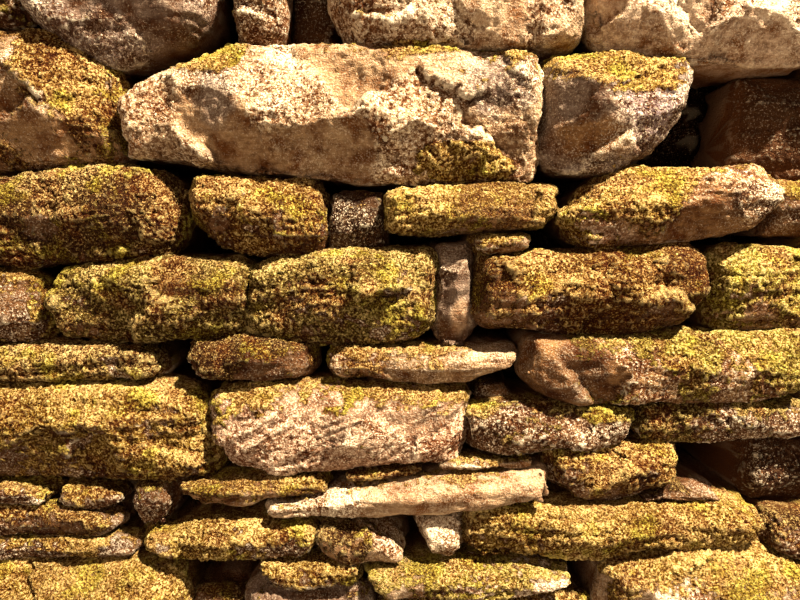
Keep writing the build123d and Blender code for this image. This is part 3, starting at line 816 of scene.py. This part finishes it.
def stretch(tree, value, low, high, to_low=0.0, to_high=1.0):
    node = tree.nodes.new("ShaderNodeMapRange")
    node.inputs["From Min"].default_value = low
    node.inputs["From Max"].default_value = high
    node.inputs["To Min"].default_value = to_low
    node.inputs["To Max"].default_value = to_high
    link(tree, value, node.inputs["Value"])
    return node.outputs["Result"]


def work_out(tree, operation, one, other):
    node = tree.nodes.new("ShaderNodeMath")
    node.operation = operation
    for socket, value in zip(node.inputs, (one, other)):
        if isinstance(value, (int, float)):
            socket.default_value = value
        else:
            link(tree, value, socket)
    return node.outputs[0]


def blend_colours(tree, how, share, under, over):
    node = tree.nodes.new("ShaderNodeMix")
    node.data_type = "RGBA"
    node.blend_type = how
    for name, value in (("Factor", share), ("A", under), ("B", over)):
        socket = [s for s in node.inputs if s.name == name and s.enabled][0]
        if isinstance(value, (int, float)):
            socket.default_value = value
        elif isinstance(value, tuple):
            socket.default_value = (*value, 1)
        else:
            link(tree, value, socket)
    return [s for s in node.outputs if s.enabled][0]


# Tones that the weathered finish mixes into the painted rock and moss, some of them painted light and
# shade
BED_LINES = (0.40, 0.26, 0.15)
BLOTCHES = (0.36, 0.18, 0.06)
# Sheer scars go browner: partly the rock's own tone, partly painted shade on facets turned from the light
SHEER_TONE_AND_SHADE = (0.56, 0.38, 0.22)
PALE_GRAINS = (1.0, 0.90, 0.70)
DARK_PITS = (0.21, 0.08, 0.016)
# Painted highlight on crests and painted shade in hollows
PAINTED_CREST_LIGHT = (1.0, 0.92, 0.70)
PAINTED_HOLLOW_SHADE = (0.14, 0.045, 0.010)
# Moss tips: paler tufts brightened into painted highlights
DRY_TIP_HIGHLIGHT = (1.0, 0.80, 0.34)
FRESH_TIP_HIGHLIGHT = (0.84, 0.79, 0.14)
FRESH_MOSS = (0.29, 0.245, 0.020)
FADED_MOSS = (0.22, 0.080, 0.012)
# Painted shade: between the moss tips, at the foot of the moss and in its hollows
MOSS_SHADE = (0.20, 0.050, 0.007)
MOSS_FOOT_SHADE = (0.28, 0.12, 0.04)
PAINTED_MOSS_HOLLOW_SHADE = (0.20, 0.055, 0.008)
# Soil deep in the joints and the packing, also standing for the shade there: partly painted shade
JOINT_SOIL_AND_SHADE = (0.150, 0.058, 0.020)
PACKING_SOIL_AND_SHADE = (0.060, 0.026, 0.012)


def tint(tree, share, colour, tone):
    return blend_colours(tree, "MIX", share, colour, tone)


def shade(tree, share, colour, tone):
    return blend_colours(tree, "MULTIPLY", share, colour, tone)


def bare_rock(tree, grains, sun_and_pale_shift, proud):
    """Bedded, blotched and pitted rock, calmer where a scar is sheer and browner there, partly as painted
    shade, with painted highlights on crests and painted shade in hollows.
    """
    beds, speckle, grit, blotch = grains
    calm = stretch(tree, read_value(tree, "sheer"), 0.0, 1.0, 1.0, 0.25)
    pale = work_out(tree, "ADD", speckle, sun_and_pale_shift)
    dull = work_out(tree, "ADD", grit, sun_and_pale_shift)
    paler = work_out(tree, "MULTIPLY", calm, stretch(tree, pale, 0.52, 0.62, 0.0, 0.80))
    duller = work_out(tree, "MULTIPLY", calm, stretch(tree, dull, 0.52, 0.42, 0.0, 0.95))
    # Painted highlight on crests and painted shade in hollows, by how far each point stands out
    crests = work_out(tree, "MULTIPLY", calm, stretch(tree, proud, 0.30, 1.2, 0.0, 0.60))
    hollows = work_out(tree, "MULTIPLY", calm, stretch(tree, proud, -0.1, -1.0, 0.0, 0.85))
    rock = read_colour(tree, "rock")
    rock = shade(tree, stretch(tree, beds, 0.56, 0.36, 0.0, 0.55), rock, BED_LINES)
    rock = shade(tree, stretch(tree, blotch, 0.54, 0.38, 0.0, 0.92), rock, BLOTCHES)
    # Sheer scars browner: partly the rock's own tone, partly painted shade
    rock = shade(tree, stretch(tree, calm, 1.0, 0.25, 0.0, 0.55), rock, SHEER_TONE_AND_SHADE)
    rock = tint(tree, paler, rock, PALE_GRAINS)
    rock = shade(tree, duller, rock, DARK_PITS)
    rock = tint(tree, crests, rock, PAINTED_CREST_LIGHT)
    return shade(tree, hollows, rock, PAINTED_HOLLOW_SHADE)


def moss_growth(tree, place, tip, sun_and_pale_shift, proud):
    """Moss with fresh and faded patches, pale tips brightened into painted highlights, and painted shade
    in the gaps between them, at the foot and in hollows.
    """
    bright = work_out(tree, "ADD", tip, sun_and_pale_shift)
    patchy = noise(tree, place, 26, 4, 0.65)
    fresh = noise(tree, place, 17, 3, 0.6)
    is_fresh = stretch(tree, fresh, 0.53, 0.62, 0.0, 0.8)
    tips = tint(tree, is_fresh, DRY_TIP_HIGHLIGHT, FRESH_TIP_HIGHLIGHT)
    growth = tint(tree, is_fresh, read_colour(tree, "moss_tint"), FRESH_MOSS)
    growth = tint(tree, stretch(tree, patchy, 0.50, 0.60, 0.0, 0.8), growth, FADED_MOSS)
    # Pale tips brightened into painted highlights, and painted shade in the gaps between them
    growth = tint(tree, stretch(tree, bright, 0.53, 0.62, 0.0, 0.85), growth, tips)
    growth = shade(tree, stretch(tree, bright, 0.51, 0.42, 0.0, 0.97), growth, MOSS_SHADE)
    # Painted shade at the foot of the moss, where it grows low
    growth = shade(tree, stretch(tree, read_value(tree, "nap"), 0.45, 0.05, 0.0, 0.70), growth, MOSS_FOOT_SHADE)
    # Painted highlight on crests and painted shade in hollows
    growth = tint(tree, stretch(tree, proud, 0.30, 1.2, 0.0, 0.35), growth, tips)
    return shade(tree, stretch(tree, proud, -0.1, -1.0, 0.0, 0.60), growth, PAINTED_MOSS_HOLLOW_SHADE)


def add_up(tree, layers):
    """The sum of some heights, each times its own share."""
    total = 0.0
    for height, share in layers:
        total = work_out(tree, "ADD", total, work_out(tree, "MULTIPLY", height, share))
    return total


def weathered_stone(name, soil_and_shade=JOINT_SOIL_AND_SHADE):
    """Split sandstone with moss in patches, soil and painted shade in the joints and lichen on the bare
    faces, with painted sunlight, highlights and shade.
    """
    finish = bpy.data.materials.new(name)
    finish.use_nodes = True
    tree = finish.node_tree
    shader = tree.nodes["Principled BSDF"]
    place = tree.nodes.new("ShaderNodeTexCoord").outputs["Object"]
    proud = read_value(tree, "proud")

    flat = tree.nodes.new("ShaderNodeMapping")
    flat.inputs["Scale"].default_value = (0.18, 0.18, 1.0)
    link(tree, place, flat.inputs["Vector"])
    beds = noise(tree, flat.outputs["Vector"], 170, 4, 0.65)
    speckle = noise(tree, place, 430, 2, 0.7)
    grit = noise(tree, place, 210, 3, 0.75)
    blotch = noise(tree, place, 32, 4, 0.62)
    tip = noise(tree, place, 400, 3, 0.72)

    # Paleness and painted sunlight move the thresholds of the pale grains, the pits, the moss tips and
    # the moss shade
    sun_and_pale_shift = stretch(tree, read_value(tree, "dry"), 0.0, 1.0, -0.07, 0.07)
    rock = bare_rock(tree, (beds, speckle, grit, blotch), sun_and_pale_shift, proud)
    growth = moss_growth(tree, place, tip, sun_and_pale_shift, proud)
    ragged = stretch(tree, speckle, 0.3, 0.7, -0.35, 0.35)
    edge = work_out(tree, "ADD", read_value(tree, "moss"), ragged)
    edge = stretch(tree, edge, 0.38, 0.58)
    colour = tint(tree, edge, rock, growth)
    # Soil and painted shade deep in the joints
    colour = tint(tree, stretch(tree, read_value(tree, "deep"), 0.0, 1.0, 0.0, 0.85), colour, soil_and_shade)
    link(tree, colour, shader.inputs["Base Color"])
    shader.inputs["Roughness"].default_value = 0.90
    shader.inputs["Specular IOR Level"].default_value = 0.08

    tufts = work_out(tree, "MULTIPLY", tip, edge)
    bump = tree.nodes.new("ShaderNodeBump")
    bump.inputs["Strength"].default_value = 1.0
    bump.inputs["Distance"].default_value = 0.006
    height = add_up(tree, [(beds, 0.4), (speckle, 0.45), (grit, 0.8), (tufts, 1.4)])
    link(tree, height, bump.inputs["Height"])
    link(tree, bump.outputs["Normal"], shader.inputs["Normal"])
    return finish


FINISHES = {
    "wall_stone": weathered_stone("weathered_wall_stone"),
    "cope_stone": weathered_stone("weathered_cope_stone"),
    "packing_stone": weathered_stone("packing_rubble", PACKING_SOIL_AND_SHADE),
}


# Packing

# The packing gets the shadowed rock and no painted sunlight of its own: painted shade for the packing
# seen in the voids
PACKING_LOOK = ("dark", "umber", -0.8, 0.0, 0.0, 0.0)


def dress_packing(node_name):
    """The packing block broken up into the look of small stone tipped between the skins."""
    block = split_into_stones(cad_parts[node_name])[0]
    round_arrises(block, PACKING)
    press(block, FLAKES, -0.050, 0.0)
    press(block, LUMPS, 0.014, 0.8)
    press(block, PITS, 0.005, 0.5)
    apply_all(block)
    look = dict(zip(LOOK, PACKING_LOOK))
    look["in_face"] = False
    finish_surface(block, look, 0.6)
    gather([block], node_name, "packing_stone")


# Camera, floor and light

def add_camera():
    """Looks square at the leaning face, from where its width just fills the frame."""
    lens, sensor = 29, 36
    middle = (VIEW_LOW + VIEW_HIGH) / 2
    lean = math.atan(BATTER)
    away = 2 * VIEW_HALF_WIDTH * lens / sensor
    face = -(FACE_AT_GROUND - BATTER * middle)
    spot = Vector((0, face - away * math.cos(lean), middle + away * math.sin(lean)))
    bpy.ops.object.camera_add(location=spot, rotation=(math.pi / 2 - lean, 0, 0))
    camera = bpy.context.object
    camera.data.lens = lens
    camera.data.sensor_width = sensor
    camera.data.dof.use_dof = False
    camera.data.clip_start = 0.05
    bpy.context.scene.camera = camera


def add_floor():
    bpy.ops.mesh.primitive_plane_add(size=14, location=(0, 0, 0))
    floor = bpy.context.object
    floor.name = "studio_floor"
    finish = bpy.data.materials.new("pale_floor")
    finish.use_nodes = True
    shader = finish.node_tree.nodes["Principled BSDF"]
    shader.inputs["Base Color"].default_value = (0.22, 0.213, 0.203, 1)
    shader.inputs["Roughness"].default_value = 0.9
    floor.data.materials.append(finish)


def add_light(name, spot, target, size, power, colour):
    bpy.ops.object.light_add(type="AREA", location=spot)
    lamp = bpy.context.object
    lamp.name = name
    lamp.data.shape = "DISK"
    lamp.data.size = size
    lamp.data.energy = power
    lamp.data.color = colour
    lamp.rotation_euler = (Vector(target) - Vector(spot)).to_track_quat("-Z", "Y").to_euler()


def add_studio():
    add_camera()
    add_floor()
    add_light("key", (1.9, -1.6, 4.2), (0, -0.25, 0.65), 0.25, 1230, (1.0, 0.81, 0.57))
    add_light("fill", (-1.6, -3.2, 1.4), (0, -0.25, 0.6), 2.5, 34, (1.0, 0.68, 0.42))
    add_light("back_light", (1.0, 3.6, 3.0), (0, 0.2, 0.6), 2.5, 130, (1.0, 0.90, 0.78))
    world = bpy.data.worlds.new("studio_world")
    bpy.context.scene.world = world
    world.use_nodes = True
    world.node_tree.nodes["Background"].inputs["Color"].default_value = (0.93, 0.66, 0.50, 1)
    world.node_tree.nodes["Background"].inputs["Strength"].default_value = 0.33
    bpy.context.scene.view_settings.view_transform = "Standard"


add_studio()
for node_name in sorted(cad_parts):
    if node_name.startswith("hearting"):
        dress_packing(node_name)
    else:
        stones = split_into_stones(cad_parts[node_name])
        for stone in stones:
            dress_stone(stone, node_name)
        gather(stones, node_name, "cope_stone" if node_name.startswith("cope") else "wall_stone")

bpy.data.objects.remove(BEDDING)
bpy.data.objects.remove(SLANTED)
